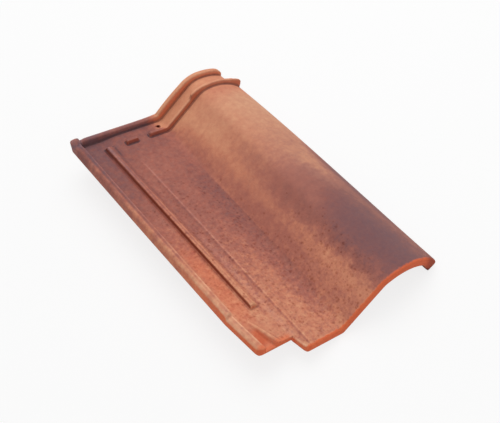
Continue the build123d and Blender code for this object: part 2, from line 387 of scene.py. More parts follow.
def lap_rib(x, y):
    """Height of the broken rib below it: a short bar on the pan, and a rib over the roll.

    The roll's rib steps up on the crown, sinks back along a soft slope and grows towards its free end."""
    foot, top, back = LAP_JOG_X
    jog = LAP_JOG_RISE * soft_step(x, foot, top) * soft_step(x, back, foot)
    growth = LAP_GROWTH * soft_step(x, *LAP_GROWTH_X)
    start = pressed(x - LAP_RIB_SPAN[0], LAP_RIB_END_SOFT[0])
    end = pressed(LAP_RIB_SPAN[1] - x, LAP_RIB_END_SOFT[1])
    over_roll = (LAP_RIB_RISE + jog + growth) * np.minimum(start, end)
    bar = (LAP_RIB_RISE + strip_drop(x, y)) * long_band(x, LAP_BAR_SPAN, LAP_RIB_END_SOFT[0])
    return np.maximum(over_roll, bar) * long_band(y, LAP_RIB, CROSS_RIB_SOFT)


print("head rib", HEAD_RIB_RISE, "mm high, up to", HEAD_RIB_RISE + HEAD_RIB_SWELL, "mm on the flank")

# %% Low bar and drain pocket
BAR_START = (14.0, 79.0)
BAR_END_X = 33.0
BAR_WIDTH = 7.0
BAR_RISE = 2.5
BAR_GROWTH = 26.0
POCKET_START = 60.0
POCKET_DEPTH = 4.5
POCKET_SOFT = 2.0


def bar_side(y):
    """Place of the low bar's outer side: a straight line from its start to its end at the tail."""
    return BAR_START[0] + (BAR_END_X - BAR_START[0]) * (BAR_START[1] - y) / (BAR_START[1] - LOCK_CUTBACK)


def low_bar(x, y):
    """Height of the bar that closes the channel: a pressed side, a soft back, and growth from its start."""
    inside = x - bar_side(y)
    section = np.minimum(pressed(inside, POCKET_SOFT), soft_step(inside, BAR_WIDTH, BAR_WIDTH / 2))
    return BAR_RISE * section * soft_step(y, BAR_START[1], BAR_START[1] - BAR_GROWTH)


def pocket(x, y):
    """Depth of the pocket between the edge rib and the bar: evenly more towards the tail."""
    depth = POCKET_DEPTH * np.clip((POCKET_START - y) / (POCKET_START - LOCK_CUTBACK), 0, 1)
    return depth * pressed(x - rib_side(y), POCKET_SOFT) * pressed(bar_side(y) - x, POCKET_SOFT)


print("pocket up to", POCKET_DEPTH, "mm deep beside a bar of", BAR_RISE, "mm")

# %% Relief of both sides
NIB_XS = (30.0, 82.0)
NIB_WIDTH = 26.0
NIB_Y = (LENGTH - 45.0, LENGTH - 31.0)
NIB_DROP = 12.0
NIB_SIDE_SOFT = 3.0
NIB_END_SOFT = (2.0, 4.0)


def upper_relief(x, y):
    """Height above the plain wall: the tallest rib and the bead, less the step down and the pocket."""
    ribs = [rib(x, y) for rib in (edge_rib, water_rib, head_rib, lap_rib, low_bar)]
    return np.maximum.reduce(ribs) + pan_bead(x, y) - strip_drop(x, y) - pocket(x, y)


def lower_relief(x, y):
    """Depth of the two batten nibs below the underside: a band across each nib times a band along."""
    face = pressed(y - NIB_Y[0], NIB_END_SOFT[0])
    back = pressed(NIB_Y[1] - y, NIB_END_SOFT[1])
    sides = sum(long_band(x, (nib - NIB_WIDTH / 2, nib + NIB_WIDTH / 2), NIB_SIDE_SOFT) for nib in NIB_XS)
    return NIB_DROP * np.minimum(face, back) * sides


print(len(NIB_XS), "nibs of", NIB_DROP, "mm under the pan")

# %% [markdown]
# ## Rounded edges
# No edge of a clay tile is sharp. Near the outline the upper side drops away on a quarter circle, and
# the underside rises on another, so only a short straight wall is left between them. A bevel modifier
# would round every edge alike, while the press leaves each its own radius. What counts is the distance
# to each part of the outline, measured along the skin.

# %% Distances to the outline


def quarter(radius, distance):
    """Drop of a quarter circle at a distance from the edge: r - sqrt(r^2 - (r - d)^2)."""
    return radius - np.sqrt(radius**2 - (radius - np.clip(distance, 0, radius)) ** 2)


def to_segment(x, y, start, end):
    """Distance of each point to a straight piece of the outline: to its nearest place between the ends."""
    run = np.subtract(end, start)
    t = np.clip(((x - start[0]) * run[0] + (y - start[1]) * run[1]) / run.dot(run), 0, 1)
    return np.hypot(x - start[0] - t * run[0], y - start[1] - t * run[1])


def along_roll(angle, radius):
    """Arc lengths beyond the cut at the head and short of the free edge. Far off where there is no roll."""
    beyond = np.where(zone == CROWN_ZONE, radius * (angle - head_angle[corner_column]), -LENGTH)
    short = np.where(zone == CROWN_ZONE, radius * (ROLL_END - angle), LENGTH)
    return beyond, short


print("a 4 mm round drops", np.round(quarter(4.0, np.arange(5)), 2), "mm at 0 to 4 mm from the edge")

# %% Drop near the outline
# Radius above and below
EDGE_ROUNDS = {
    "lock": (4.5, 3.0),
    "strip_tail": (1.8, 2.6),
    "notch": (2.4, 2.0),
    "tail": (4.4, 1.6),
    "head": (2.6, 2.0),
    "knob": (2.6, 3.4),
    "corner": (2.6, 2.0),
    "roll": (3.4, 2.0),
}
upper_rounds = {edge: above for edge, (above, below) in EDGE_ROUNDS.items()}
lower_rounds = {edge: below for edge, (above, below) in EDGE_ROUNDS.items()}


def edge_drop(x, y, angle, radius, rounds):
    """Largest quarter circle of all: lock edge, parts of the tail, parts of the head and the roll's end."""
    notch = (LOCK_WIDTH, LOCK_CUTBACK)
    toe = (LOCK_CORNER_X, 0.0)
    beyond, short = along_roll(angle, radius)
    knob_round = rounds["head"] + rounds["knob"] * soft_step(x, 2 * EDGE_RIB_WIDTH, EDGE_RIB_WIDTH)
    lower_head = np.where(beyond > 0, np.abs(HEAD_CORNER_Y - y), np.hypot(beyond, HEAD_CORNER_Y - y))
    cut_face = np.hypot(beyond, np.clip(HEAD_CORNER_Y - y, 0, None))
    return np.maximum.reduce([
        quarter(rounds["lock"], x - edge_shift(y)),
        quarter(rounds["strip_tail"], to_segment(x, y, (0.0, LOCK_CUTBACK), notch)),
        quarter(rounds["notch"], to_segment(x, y, notch, toe)),
        quarter(rounds["tail"], to_segment(x, y, toe, (LENGTH, 0.0))),
        quarter(knob_round, LENGTH - y),
        quarter(rounds["head"], lower_head),
        quarter(rounds["corner"], cut_face),
        quarter(rounds["roll"], short),
    ])


print("edges rounded by", upper_rounds, "above and", lower_rounds, "below")

# %% [markdown]
# ## Rounded corners
# Seen from above, the corners of the outline are round as well, because a sharp corner of wet clay would
# break off in the press. Near a corner the grid's small square is squeezed into a quarter of a disc, so
# its two straight borders become one arc and no cell is lost.

# %% Rounding the corners
CORNER_ROUNDS = {"strip": 7.0, "toe": 5.0, "knob": 3.0, "head": 8.0, "lap": 3.0, "tail": 2.0}


def round_corner(from_side, from_end, radius):
    """How far points move in from the two borders of a corner, given their distances to them.

    With p and q as the shares of the way out to the two borders, a square becomes a disc when p shrinks by
    sqrt(1 - q^2 / 2) and q by sqrt(1 - p^2 / 2)."""
    p = np.clip(1 - from_side / radius, 0, 1)
    q = np.clip(1 - from_end / radius, 0, 1)
    return radius * p * (1 - np.sqrt(1 - q**2 / 2)), radius * q * (1 - np.sqrt(1 - p**2 / 2))


def rounded_corners(x, y, angle, radius):
    """Moves across and along the tile, added up over all corners."""
    beyond, short = along_roll(angle, radius)
    strip_in, strip_up = round_corner(x - edge_shift(y), y - LOCK_CUTBACK, CORNER_ROUNDS["strip"])
    toe_in, toe_up = round_corner(x - LOCK_WIDTH - notch_slant(y), y, CORNER_ROUNDS["toe"])
    knob_in, knob_down = round_corner(x, LENGTH - y, CORNER_ROUNDS["knob"])
    head_out, head_down = round_corner(-beyond, LENGTH - y, CORNER_ROUNDS["head"])
    lap_out, lap_down = round_corner(short, HEAD_CORNER_Y - y, CORNER_ROUNDS["lap"])
    tail_out, tail_up = round_corner(short, y, CORNER_ROUNDS["tail"])
    move_in = strip_in + toe_in + knob_in - head_out - lap_out - tail_out
    move_up = strip_up + toe_up + tail_up - knob_down - head_down - lap_down
    return move_in, move_up


strip_move = round_corner(np.zeros(1), np.zeros(1), CORNER_ROUNDS["strip"])[0]
print("the strip's corner moves in by", strip_move.round(2), "mm each way")

# %% [markdown]
# ## The skin
# Upper side and underside are two grids with the same columns and rows. A band of faces joins them
# round the outline. For the nail hole, a small square of each grid is opened, its border is pulled
# into a circle, and a tube of faces joins the two circles. A boolean cut would leave long thin faces.

# %% Upper and lower grid
LIP_DROP = 4.5
EDGE_KNOB_LEAN = (LENGTH - 20.0, LENGTH - 10.0)
EDGE_KNOB_OUT = 4.5
row_y = np.broadcast_to(rows, (len(share), len(rows)))


def skin(y, rise, fold_r, lip_drop, relief, rounds, outwards, knob_out):
    """Grid of points: the clay line, moved along its outward direction by the relief less the rounding.

    The corners are then drawn in along the line, and the knob leans out over the edge."""
    x, z, angle = cross_line(y, rise, fold_r, lip_drop)
    radius = crown_radius(y) + rise
    height = outwards * (relief(x, y) - edge_drop(x, y, angle, radius, rounds))
    tall = z + height * np.cos(angle)
    move_in, move_up = rounded_corners(x, y, angle, radius)
    lean = knob_out * soft_step(y, *EDGE_KNOB_LEAN) * np.clip(1 - x / EDGE_RIB_WIDTH, 0, 1)
    lean = lean * np.clip((tall - LOCK_WALL) / (EDGE_RIB_TOP - LOCK_WALL), 0, 1)
    skin_x = x + height * np.sin(angle) + move_in * np.cos(angle) - lean
    return np.stack([skin_x, y + move_up, tall - move_in * np.sin(angle)], axis=-1)


upper = skin(row_y, WALL, FOLD_TOP_R, 0.0, upper_relief, upper_rounds, outwards=1, knob_out=EDGE_KNOB_OUT)
lower = skin(row_y, 0.0, FOLD_UNDER_R, LIP_DROP, lower_relief, lower_rounds, outwards=-1, knob_out=0.0)
print("upper side from", upper.min((0, 1)).round(1), "to", upper.max((0, 1)).round(1))

# %% Nail hole
# Place across and along, and radius
NAIL = (128.6, LENGTH - 17.8, 2.5)
HOLE_CELLS = 4
HOLE_TURN = np.radians(-135)


def open_hole(grid):
    """Pulls the border of a square of cells into the hole's circle, at even angles round it.

    Returns the square's first column and row, and the columns and rows of its border."""
    near = np.hypot(grid[..., 0] - NAIL[0], grid[..., 1] - NAIL[1])
    first = np.array(np.unravel_index(near.argmin(), near.shape)) - HOLE_CELLS // 2
    side = np.arange(HOLE_CELLS)
    full, none = np.full_like(side, HOLE_CELLS), np.zeros_like(side)
    i = np.concatenate([side, full, HOLE_CELLS - side, none]) + first[0]
    j = np.concatenate([none, side, full, HOLE_CELLS - side]) + first[1]
    turn = HOLE_TURN + np.arange(len(i)) * 2 * np.pi / len(i)
    grid[i, j, 0] = NAIL[0] + NAIL[2] * np.cos(turn)
    grid[i, j, 1] = NAIL[1] + NAIL[2] * np.sin(turn)
    return first, i, j


upper_hole = open_hole(upper)
lower_hole = open_hole(lower)
print("nail hole opened at column and row", upper_hole[0], "above and", lower_hole[0], "below")

# %% Faces of the grids


def grid_faces(index, kept):
    """Quads of a grid of point numbers in the cells that are kept."""
    quads = np.stack([index[:-1, :-1], index[1:, :-1], index[1:, 1:], index[:-1, 1:]], axis=-1)
    return quads[kept]


def without_hole(first):
    """The kept cells less a square of cells from its first column and row."""
    kept = kept_cells.copy()
    kept[first[0]:first[0] + HOLE_CELLS, first[1]:first[1] + HOLE_CELLS] = False
    return kept


def rim(quads, below):
    """Quads down from the border.

    A side of a quad is on the border if no other quad has it the other way round."""
    start, end = quads.ravel(), np.roll(quads, -1, axis=1).ravel()
    border = ~np.isin(start * len(below) + end, end * len(below) + start)
    start, end = start[border], end[border]
    return np.stack([end, start, below[start], below[end]], axis=-1)


count = upper[..., 0].size
above = np.arange(count).reshape(upper.shape[:2])
below = above + count
ring_above = above[upper_hole[1], upper_hole[2]]
ring_below = below[lower_hole[1], lower_hole[2]]
quads = np.concatenate([
    grid_faces(above, without_hole(upper_hole[0])),
    grid_faces(below, without_hole(lower_hole[0]))[:, ::-1],
    rim(grid_faces(above, kept_cells), below.ravel()),
    np.stack([np.roll(ring_above, -1), np.roll(ring_below, -1), ring_below, ring_above], axis=-1),
])
print(len(quads), "faces,", len(ring_above), "of them round the nail hole")

# %% Mesh


def add_object(name, data):
    """New object at the origin, linked to the scene."""
    made = bpy.data.objects.new(name, data)
    bpy.context.scene.collection.objects.link(made)
    return made


def mesh_from(name, points, quads):
    """New smooth object at the origin with these points and quads, without points that no face uses."""
    used = np.unique(quads)
    place = np.zeros(len(points), int)
    place[used] = np.arange(len(used))
    mesh = bpy.data.meshes.new(name)
    mesh.from_pydata(points[used].tolist(), [], place[quads].tolist())
    mesh.polygons.foreach_set("use_smooth", np.ones(len(quads), bool))
    mesh.update()
    return add_object(name, mesh)


points = np.concatenate([upper.reshape(-1, 3), lower.reshape(-1, 3)])
tile = mesh_from("tile_skin", lay_down(points), quads)
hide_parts("roof_tile")
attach(tile, "root")
print(tile.name, "has", 2 * len(quads), "triangles")

# %% [markdown]
# ## What the kiln and the light do
# Fire and smoke colour a face that looks up more than a steep one. Crests are painted paler, partly as wear
# from handling and partly as painted highlight. Grooves get painted shade, and sides that turn to the lock
# edge get painted shade in deep red. All this is measured on the finished mesh and kept as attributes of
# its points: how far each point faces up from the pan, how far it faces the lock edge, and how sharply the
# skin bends there, which is above zero on crests and below it in grooves. The material reads them by name.

# %% Attributes of the skin
FULL_BEND = 0.16
SHORTEST_SQUARE = 0.01


def read_vectors(items, name, width, kind=float):
    """A property of all items as an array with a row for each."""
    flat = np.zeros(len(items) * width, kind)
    items.foreach_get(name, flat)
    return flat.reshape(-1, width)


def bend_of(mesh, normals):
    """How fast the normal turns along the sides of the faces, per millimetre.

    It is the mean over the sides at each point, and then over the point and its neighbours."""
    places = read_vectors(mesh.vertices, "co", 3) / MM
    start, end = read_vectors(mesh.edges, "vertices", 2, int).T
    run = places[end] - places[start]
    turn = ((normals[end] - normals[start]) * run).sum(axis=1)
    turn = turn / np.maximum((run**2).sum(axis=1), SHORTEST_SQUARE)
    size = len(places)
    sides = np.bincount(start, minlength=size) + np.bincount(end, minlength=size)
    mean = (np.bincount(start, turn, size) + np.bincount(end, turn, size)) / sides
    near = (np.bincount(start, mean[end], size) + np.bincount(end, mean[start], size)) / sides
    return (mean + near) / 2


normals = read_vectors(tile.data.vertex_normals, "vector", 3)
attributes = {
    "facing": normals @ rest_turn[:, 2],
    "crest": np.clip(bend_of(tile.data, normals) / FULL_BEND, -1, 1),
    "lee": -normals @ rest_turn[:, 0],
}
for name, values in attributes.items():
    attribute = tile.data.attributes.new(name, "FLOAT", "POINT")
    attribute.data.foreach_set("value", values.astype(np.float32))
    print("attribute", name, "from", values.min().round(2), "to", values.max().round(2))

# %% [markdown]
# ## Writing shader maths as sums
# A material is a net of nodes. To keep it readable, a small class wraps one output of a node: adding
# or multiplying two of them puts a Math node into the net, and one method makes any other node.

# %% A socket with operators


class Net:
    """One output socket in a material's net of nodes."""

    def __init__(self, tree, socket):
        self.tree, self.socket = tree, socket

    def node(self, kind, settings=None, output=0, **inputs):
        """New node of a kind: its settings first, then its sockets, by name or as i and a number."""
        made = self.tree.nodes.new("ShaderNode" + kind)
        for name, value in (settings or {}).items():
            if name == "stops":
                set_stops(made.color_ramp, value)
            else:
                setattr(made, name, value)
        for name, value in inputs.items():
            key = int(name[1:]) if name[0] == "i" and name[1:].isdigit() else name.replace("_", " ")
            if isinstance(value, Net):
                self.tree.links.new(value.socket, made.inputs[key])
            else:
                made.inputs[key].default_value = value
        return Net(self.tree, made.outputs[output])

    def beside(self, output):
        """Another output of the same node, by name or number."""
        return Net(self.tree, self.socket.node.outputs[output])

    def into(self, node, name):
        """Links this output to a named socket of a node."""
        self.tree.links.new(self.socket, node.inputs[name])

    def maths(self, operation, a, b=0.0, clamp=False):
        """Math node with one or two values."""
        return self.node("Math", {"operation": operation, "use_clamp": clamp}, i0=a, i1=b)

    def __add__(self, other):
        return self.maths("ADD", self, other)

    def __radd__(self, other):
        return self.maths("ADD", other, self)

    def __sub__(self, other):
        return self.maths("SUBTRACT", self, other)

    def __rsub__(self, other):
        return self.maths("SUBTRACT", other, self)

    def __mul__(self, other):
        return self.maths("MULTIPLY", self, other)

    def __rmul__(self, other):
        return self.maths("MULTIPLY", other, self)

    def __truediv__(self, other):
        return self.maths("DIVIDE", self, other)

    def __rtruediv__(self, other):
        return self.maths("DIVIDE", other, self)

    def clamped(self):
        """The value kept between 0 and 1."""
        return self.maths("ADD", self, 0.0, clamp=True)

    def between(self, low, high):
        """The low number where this value is 0, the high one where it is 1."""
        return low + self * (high - low)

    def ramp(self, low, high):
        """0 below low, 1 above high and a smooth step between them. A low above high turns it round."""
        settings = {"interpolation_type": "SMOOTHSTEP"}
        if low <= high:
            return self.node("MapRange", settings, i0=self, i1=low, i2=high, i3=0.0, i4=1.0)
        return self.node("MapRange", settings, i0=self, i1=high, i2=low, i3=1.0, i4=0.0)

    def mixed(self, colour_a, colour_b):
        """Colour a where this value is 0, colour b where it is 1."""
        return self.node("Mix", {"data_type": "RGBA"}, output=2, i0=self, i6=colour_a, i7=colour_b)


def set_stops(colour_ramp, stops):
    """Places and colours of a colour ramp."""
    while len(colour_ramp.elements) < len(stops):
        colour_ramp.elements.new(0.5)
    for element, (place, colour) in zip(colour_ramp.elements, stops):
        element.position, element.color = place, colour


def first_node(tree, kind):
    """First node of a kind in a tree."""
    return next(node for node in tree.nodes if node.type == kind)


def new_material(name):
    """Material with its main shader: returns it, the shader and the start of the net."""
    material = bpy.data.materials.new(name)
    material.use_nodes = True
    tree = material.node_tree
    return material, first_node(tree, "BSDF_PRINCIPLED"), Net(tree, None)


print("shader helper ready")

# %% [markdown]
# ## Flamed clay
# In the kiln the smoke colours the clay: salmon where it is clean, brown rose in the middle, and
# purple grey where it was thick. The smoke has its places on the tile, so the material turns Object
# coordinates back into the tile's own x and y with a Mapping node. Painting an image would tie the
# finish to one size, so soft steps and noise say how much smoke each place had. Noise also moves the
# places to and fro, so that no edge of the smoke is straight.

# %% Places on the tile
MM_PER_M = 1000.0
clay, clay_shader, net = new_material("flamed_clay")
coords = net.node("TexCoord", output=3)
back_turn = Matrix(rest_turn.T.tolist()).to_euler()
place_in_tile = net.node("Mapping", {"vector_type": "POINT"}, Vector=coords, Rotation=back_turn,
                         Location=(-REST_SHIFT * MM).tolist())
split = net.node("SeparateXYZ", i0=place_in_tile)
tile_x, tile_y, tile_z = (split.beside(k) * MM_PER_M for k in range(3))
facing, crest, lee = (net.node("Attribute", {"attribute_name": name}, output=2) for name in attributes)
print("material", clay.name, "reads tile places and the attributes", list(attributes))

# %% Noise


def moved_by(vector, offset):
    """A place moved by the same offset in all three directions, so that each noise has its own lumps."""
    return net.node("VectorMath", {"operation": "ADD"}, i0=vector, i1=(offset, offset, offset))


def cloud(size_mm, offset, detail=3.0, roughness=0.55):
    """Noise between about 0.2 and 0.8 whose lumps are about a size across."""
    moved = moved_by(place_in_tile, offset)
    return net.node("TexNoise", Vector=moved, Scale=1 / (size_mm * MM), Detail=detail, Roughness=roughness)


def sway(size_mm, offset, reach, detail=3.0, roughness=0.55):
    """Noise about zero: a cloud less its mean of a half, times a reach."""
    return (cloud(size_mm, offset, detail, roughness) - 0.5) * reach


drift_x = sway(60.0, 1.3, 50.0)
drift_y = sway(60.0, 2.7, 70.0)
ragged = sway(11.0, 3.3, 30.0, detail=4.0)
print("places drift in wide lumps and have ragged edges")

# %% [markdown]
# ## Smoke in lanes
# Tiles stand close together in the kiln, so most of the smoke lies in long lanes: the lock strip, the
# pan, the fold and so on. A lane is a soft step or band across the tile, times one along it, times the
# share of smoke that it takes. All numbers are places in millimetres, apart from those shares. Lanes
# on the roll lean with it, by the lane slope. Layers add up as panes of smoked glass do: each one lets
# through its part of what is left.

# %% Directions of the lanes
LANE_SLOPE = 0.031
across = tile_x + drift_x * 0.2 + ragged * 0.25
along = tile_y + drift_y * 0.6 + ragged * 0.8
lane = across - tile_y * LANE_SLOPE


def band(value, start, end, fade_in, fade_out):
    """1 between a start and an end, with a smooth fade of a half width at each."""
    return value.ramp(start - fade_in, start + fade_in) * value.ramp(end + fade_out, end - fade_out)


def let_through(layers):
    """What layers leave of 1: the product of one minus each."""
    left = 1.0
    for layer in layers:
        left = left * (1 - layer)
    return left


fold_line = tile_x - tile_y * LANE_SLOPE + ragged * 0.05
crisp_pan = fold_line.ramp(123.6, 121.6)
soft_pan = (lane + tile_y.ramp(385.0, 415.0) * 14.0).ramp(142.0, 112.0)
upper_end = tile_y.ramp(240.0, 340.0)
on_pan = crisp_pan * (1 - upper_end) + soft_pan * upper_end
print("lanes lean by", LANE_SLOPE, "mm for each mm, and the pan's smoke ends crisply at the fold")

# %% Lanes of the lock and the pan
strip_smoke = 0.19 + along.ramp(70.0, 430.0) * across.ramp(42.0, 32.0).between(0.60, 0.72)
edge_along = along.ramp(120.0, 320.0) * tile_y.ramp(425.0, 385.0)
valley_along = band(along, 40.0, 330.0, 40.0, 50.0)
pan_lanes = {
    "lock strip": across.ramp(57.0, 46.0) * strip_smoke * tile_x.ramp(5.0, 2.0).between(1.0, 0.75),
    "edge rib": band(tile_x, 3.5, 9.5, 1.5, 1.5) * edge_along * 0.50,
    "pan": across.ramp(43.0, 55.0) * on_pan * along.ramp(40.0, 270.0).between(0.25, 0.62),
    "pan step": band(tile_x, 63.4, 65.8, 0.9, 0.9) * along.ramp(350.0, 300.0) * 0.24,
    # The lap lane darkens the pan towards the lap rib, and the head rib lane darkens the head rib on the
    # pan.
    "lap": across.ramp(44.0, 54.0) * lane.ramp(124.0, 100.0) * along.ramp(352.0, 392.0) * 0.34,
    "head rib": tile_x.ramp(124.0, 98.0) * band(tile_y, 418.0, 427.0, 3.0, 1.5) * 0.34,
    "valley": lane.ramp(84.0, 112.0) * on_pan * valley_along * 0.37,
}
print("lanes", list(pan_lanes))

# %% Lanes of the fold and the roll
fold_along = along.ramp(400.0, 370.0) * band(along, 90.0, 260.0, 50.0, 40.0).between(0.38, 0.50)
flank_along = along.ramp(350.0, 220.0) * along.ramp(110.0, 200.0).between(0.18, 0.32)
crown_along = along.ramp(412.0, 380.0) * along.ramp(340.0, 250.0).between(0.17, 0.34)
roll_lanes = {
    "fold": (1 - on_pan) * lane.ramp(152.0, 132.0) * fold_along,
    "flank": band(lane, 142.0, 162.0, 12.0, 12.0) * flank_along,
    "crown": lane.ramp(142.0, 164.0) * crown_along,
    "crown's head": lane.ramp(160.0, 195.0) * tile_y.ramp(365.0, 400.0) * 0.14,
    "lip": tile_x.ramp(238.0, 248.0) * along.ramp(265.0, 200.0) * 0.46,
}
print("lanes", list(roll_lanes))

# %% [markdown]
# ## Smoke in patches
# Flames licked the tail end of the roll and the corner of the head, and left purple patches. Each patch
# is a soft ellipse whose edge is moved by the same noise as the lanes, at its x and y, with its reach
# across and along, and its strength.

# %% Patches
SMOKE_PATCHES = (
    (204.0, 38.0, 56.0, 140.0, 0.88),
    (188.0, 138.0, 50.0, 112.0, 0.48),
    (258.0, 155.0, 34.0, 105.0, 0.62),
    (234.0, 130.0, 42.0, 70.0, 0.15),
    (189.0, 22.0, 40.0, 82.0, 0.34),
    (20.0, 425.0, 60.0, 50.0, 0.26),
)
patch_x = tile_x + drift_x * 0.5 + ragged
patch_y = tile_y + drift_y * 0.6 + ragged


def smoke_patch(mid_x, mid_y, reach_x, reach_y, strength):
    """Strength in the middle of an ellipse, falling to 0 at its reach, where both squared shares make 1."""
    off_x = (patch_x - mid_x) / reach_x
    off_y = (patch_y - mid_y) / reach_y
    return (off_x * off_x + off_y * off_y).ramp(1.0, 0.0) * strength


patches = [smoke_patch(*patch) for patch in SMOKE_PATCHES]
clean = let_through([*pan_lanes.values(), *roll_lanes.values(), *patches])
print(len(pan_lanes) + len(roll_lanes), "lanes and", len(patches), "patches")

# %% How much smoke and painted shade in all
lap_side = tile_y.ramp(380.0, 392.0)
lively = (clean.between(0.14, 0.74) + on_pan * 0.36) * tile_x.ramp(14.0, 9.0).between(1.0, 1.5)
mottle = (sway(22.0, 4.1, 0.24, detail=4.0) + sway(9.0, 5.9, 0.62)) * lively
# Grooves get painted shade: more smoke here and a darker shade factor further on. Crests get less smoke,
# partly as wear and partly as painted highlight.
groove_shade = crest.ramp(-0.08, -0.8) * lap_side.between(0.25, 1.0)
smoke_and_shade = 1 - clean + mottle + groove_shade * 0.25 - crest.ramp(0.1, 0.9) * lap_side.between(0.16, 0.06)
print("smoke is mottled, thicker in grooves and thinner on crests")

# %% [markdown]
# ## Specks and grain
# Dark specks of manganese lie in the clay, more of them on the pan and towards the tail. A Voronoi
# texture gives one point per cell, only some cells show theirs, and noise makes their rims uneven. Three
# sizes lie over each other, because real specks differ in size.

# %% Specks
# Size of a cell, radius of a speck as a share of it, offset of the noise and strength
SPECK_SIZES = (
    (7.5, 0.42, 7.7, 0.8),
    (5.2, 0.46, 9.1, 1.0),
    (3.4, 0.50, 10.3, 0.7),
)
WOBBLE_SIZE = 0.35
WOBBLE_REACH = 0.5
sandy_pan = tile_y.ramp(380.0, 150.0) * lane.ramp(138.0, 114.0)
sandy_fold = tile_y.ramp(210.0, 80.0) * lane.ramp(114.0, 138.0) * lane.ramp(184.0, 152.0) * 0.9
drain_end = tile_x.ramp(42.0, 34.0) * tile_y.ramp(74.0, 62.0)
sandy = (sandy_pan + sandy_fold) * tile_x.ramp(12.0, 19.0) * (1 - drain_end)


def specks(size_mm, radius, offset, strength):
    """Strength inside a speck: near a cell's point, in the cells whose random number is high enough."""
    wobble = net.node("TexNoise", Vector=place_in_tile, Scale=1 / (size_mm * WOBBLE_SIZE * MM), Detail=1.0,
                      output=1)
    moved = net.node("VectorMath", {"operation": "MULTIPLY_ADD"}, i0=wobble,
                     i1=(WOBBLE_REACH * size_mm * MM,) * 3, i2=place_in_tile)
    cell = net.node("TexVoronoi", Vector=moved_by(moved, offset), Scale=1 / (size_mm * MM))
    draw = net.node("SeparateColor", i0=cell.beside(1))
    reach = radius * draw.beside(1).between(0.55, 1.30)
    return (cell / reach).ramp(1.0, 0.0) * (draw + sandy * 0.60).ramp(0.98, 1.06) * strength


speck = sum(specks(*sizes) for sizes in SPECK_SIZES).clamped()
print("specks in cells of", [sizes[0] for sizes in SPECK_SIZES], "mm")

# %% Grain
blotch = cloud(4.2, 12.0, detail=2.0, roughness=0.6) - 0.5
grain = cloud(0.9, 11.0, detail=2.0, roughness=0.6)
print("blotches of about 4 mm and a grain of about 1 mm")

# %% [markdown]
# ## From smoke to colour
# A colour ramp turns smoke into colour. A painted sheen makes the clean roll a little paler and greyer,
# and the specks darken what lies under them. Both multiply the colour by a tint; the specks cover the clay
# like a thin wash.

# %% Smoke, painted sheen and specks
SMOKE_STOPS = (
    (0.0, (0.680, 0.305, 0.176, 1)),
    (0.26, (0.570, 0.218, 0.131, 1)),
    (0.50, (0.405, 0.142, 0.102, 1)),
    (0.74, (0.285, 0.103, 0.084, 1)),
    (1.0, (0.170, 0.082, 0.089, 1)),
)
SHEEN_TINT = (0.97, 1.16, 1.20, 1)
SPECK_TINT = (0.56, 0.38, 0.33, 1)


def tinted(amount, colour, tint):
    """The colour where the amount is 0, and the colour times the tint where it is 1."""
    settings = {"data_type": "RGBA", "blend_type": "MULTIPLY"}
    return net.node("Mix", settings, output=2, i0=amount, i6=colour, i7=tint)


blotched = smoke_and_shade + blotch * (0.15 + on_pan * 0.10 + sandy * 0.28)
smoked = net.node("ValToRGB", {"stops": SMOKE_STOPS}, i0=blotched.clamped())
# Painted sheen: the clean right side of the roll and its right edge towards the tail are made paler and
# greyer, as a grazing reflection would make them.
sheen_crown = lane.ramp(135.0, 215.0) * along.ramp(390.0, 355.0) * clean.ramp(0.10, 0.60)
sheen_lip = lane.ramp(185.0, 225.0) * along.ramp(240.0, 170.0) * 0.7
sheened = tinted((sheen_crown + sheen_lip).clamped(), smoked, SHEEN_TINT)
speckled = tinted(speck * 0.68, sheened, SPECK_TINT)
print(len(SMOKE_STOPS), "colours from clean to thick smoke")

# %% [markdown]
# ## Rubbed and highlit places
# The tops of the ribs are paler than the rest, partly from tiles rubbing against each other in the stack
# and partly as a painted highlight where the crests catch the light. The bend of the skin finds crests in
# general. The long ribs get pale lines of their own.

# %% Rubbed and highlit crests and lines
RUB_AND_HIGHLIGHT_TINT = (1.22, 1.45, 1.55, 1)
patchy = cloud(22.0, 6.6).ramp(0.38, 0.62) * lap_side.between(0.50, 0.20)
off_water_rib = band(tile_x, 36.0, 52.0, 1.0, 1.0).between(1.0, 0.15)
# Pale crests and lines: partly wear, partly painted highlight.
rubbed_and_highlit_places = {
    "crests": crest.ramp(0.15, 0.9) * patchy * off_water_rib,
    "low rib": tile_x.ramp(16.0, 9.0) * band(along, 45.0, 120.0, 25.0, 40.0) * 0.40,
    "edge rib": band(tile_x, 7.2, 11.2, 1.4, 0.8) * tile_y.ramp(150.0, 240.0),
    "water rib": band(tile_x, 37.2, 40.6, 1.0, 1.2) * band(tile_y, 330.0, 402.0, 50.0, 2.0) * 0.8,
    "step's foot": band(tile_x, 52.0, 60.0, 3.0, 3.0) * tile_y.ramp(240.0, 180.0) * 0.45,
    "pan step": band(tile_x, 66.4, 68.8, 0.9, 0.9) * band(tile_y, 110.0, 352.0, 60.0, 14.0) * 0.5,
    "knob": tile_x.ramp(13.0, 10.0) * tile_y.ramp(410.0, 422.0) * 0.9,
    "head rib": band(tile_x, 12.0, 122.0, 1.0, 10.0) * tile_y.ramp(425.0, 427.5) * 0.8,
}
rubbed_and_highlit = tinted(sum(rubbed_and_highlit_places.values()).clamped(), speckled, RUB_AND_HIGHLIGHT_TINT)
print("rubbed_and_highlit", list(rubbed_and_highlit_places))
